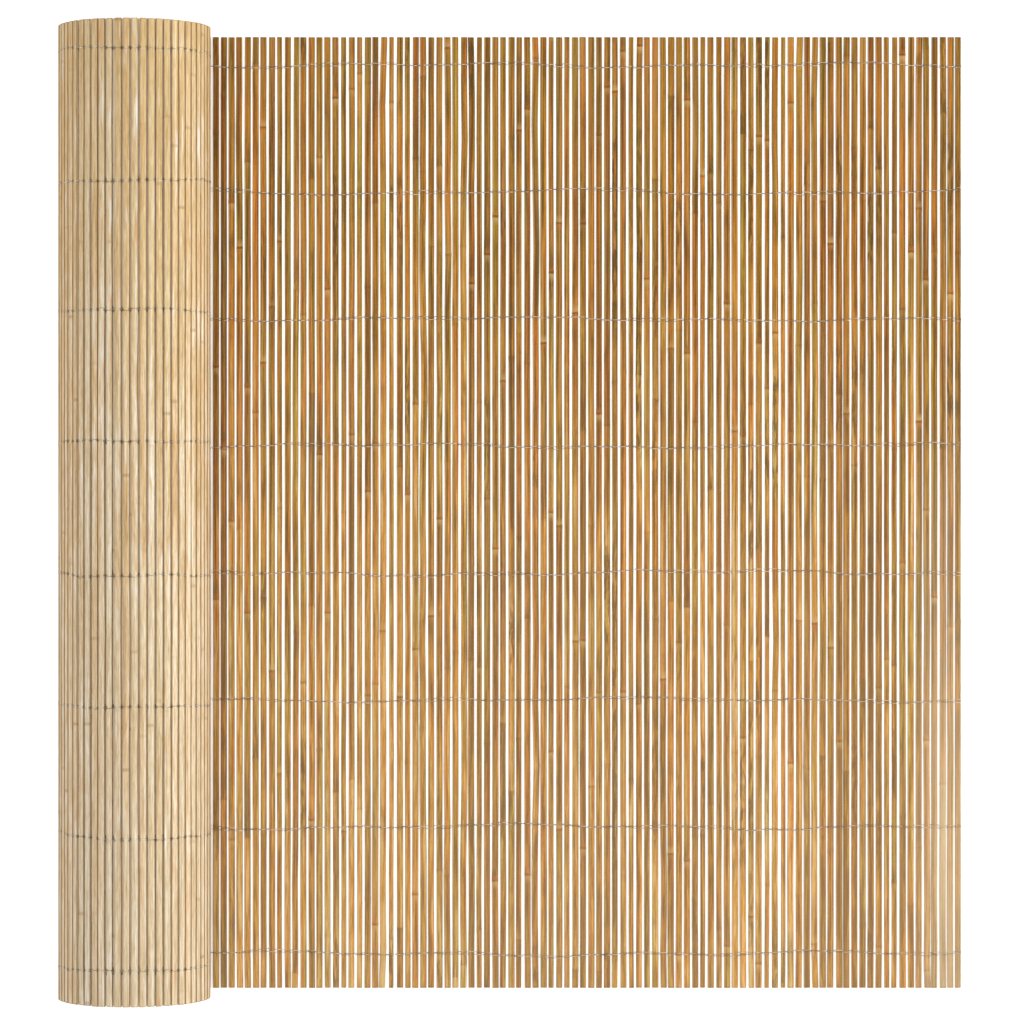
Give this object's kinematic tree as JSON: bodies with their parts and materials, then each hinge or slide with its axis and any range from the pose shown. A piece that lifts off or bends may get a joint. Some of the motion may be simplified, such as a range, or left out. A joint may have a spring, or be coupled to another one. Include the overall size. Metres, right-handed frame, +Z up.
{
  "type": "bamboo fence",
  "caption": "Split bamboo screening fence of upright slats bound by rows of twisted wire, lying with one end flat and the rest wound in a roll on top of it.",
  "frame": {"origin": "middle of the underside", "axes": "+X runs along the fence from the roll to the free edge, +Y along the slats, +Z up"},
  "size_m": [0.9411, 1, 0.1599],
  "materials": {
    "bamboo": "dry split bamboo, satin skin and matt split faces",
    "wire": "dull galvanised wire"
  },
  "bodies": {
    "root": {"back_wire_1": "wire", "back_wire_2": "wire", "back_wire_3": "wire", "back_wire_4": "wire", "back_wire_5": "wire", "back_wire_6": "wire", "back_wire_7": "wire", "back_wire_8": "wire", "bore_wire_1": "wire", "bore_wire_2": "wire", "bore_wire_3": "wire", "bore_wire_4": "wire", "bore_wire_5": "wire", "bore_wire_6": "wire", "bore_wire_7": "wire", "bore_wire_8": "wire", "flat_slats": "bamboo", "front_wire_1": "wire", "front_wire_2": "wire", "front_wire_3": "wire", "front_wire_4": "wire", "front_wire_5": "wire", "front_wire_6": "wire", "front_wire_7": "wire", "front_wire_8": "wire", "roll_turn_01_slats": "bamboo", "roll_turn_02_slats": "bamboo", "roll_turn_03_slats": "bamboo", "roll_turn_04_slats": "bamboo", "roll_turn_05_slats": "bamboo", "roll_turn_06_slats": "bamboo", "roll_turn_07_slats": "bamboo", "roll_turn_08_slats": "bamboo", "roll_turn_09_slats": "bamboo", "roll_turn_10_slats": "bamboo", "roll_turn_11_slats": "bamboo", "roll_turn_12_slats": "bamboo", "roll_wire_1": "wire", "roll_wire_2": "wire", "roll_wire_3": "wire", "roll_wire_4": "wire", "roll_wire_5": "wire", "roll_wire_6": "wire", "roll_wire_7": "wire", "roll_wire_8": "wire"}
  },
  "joints": []
}
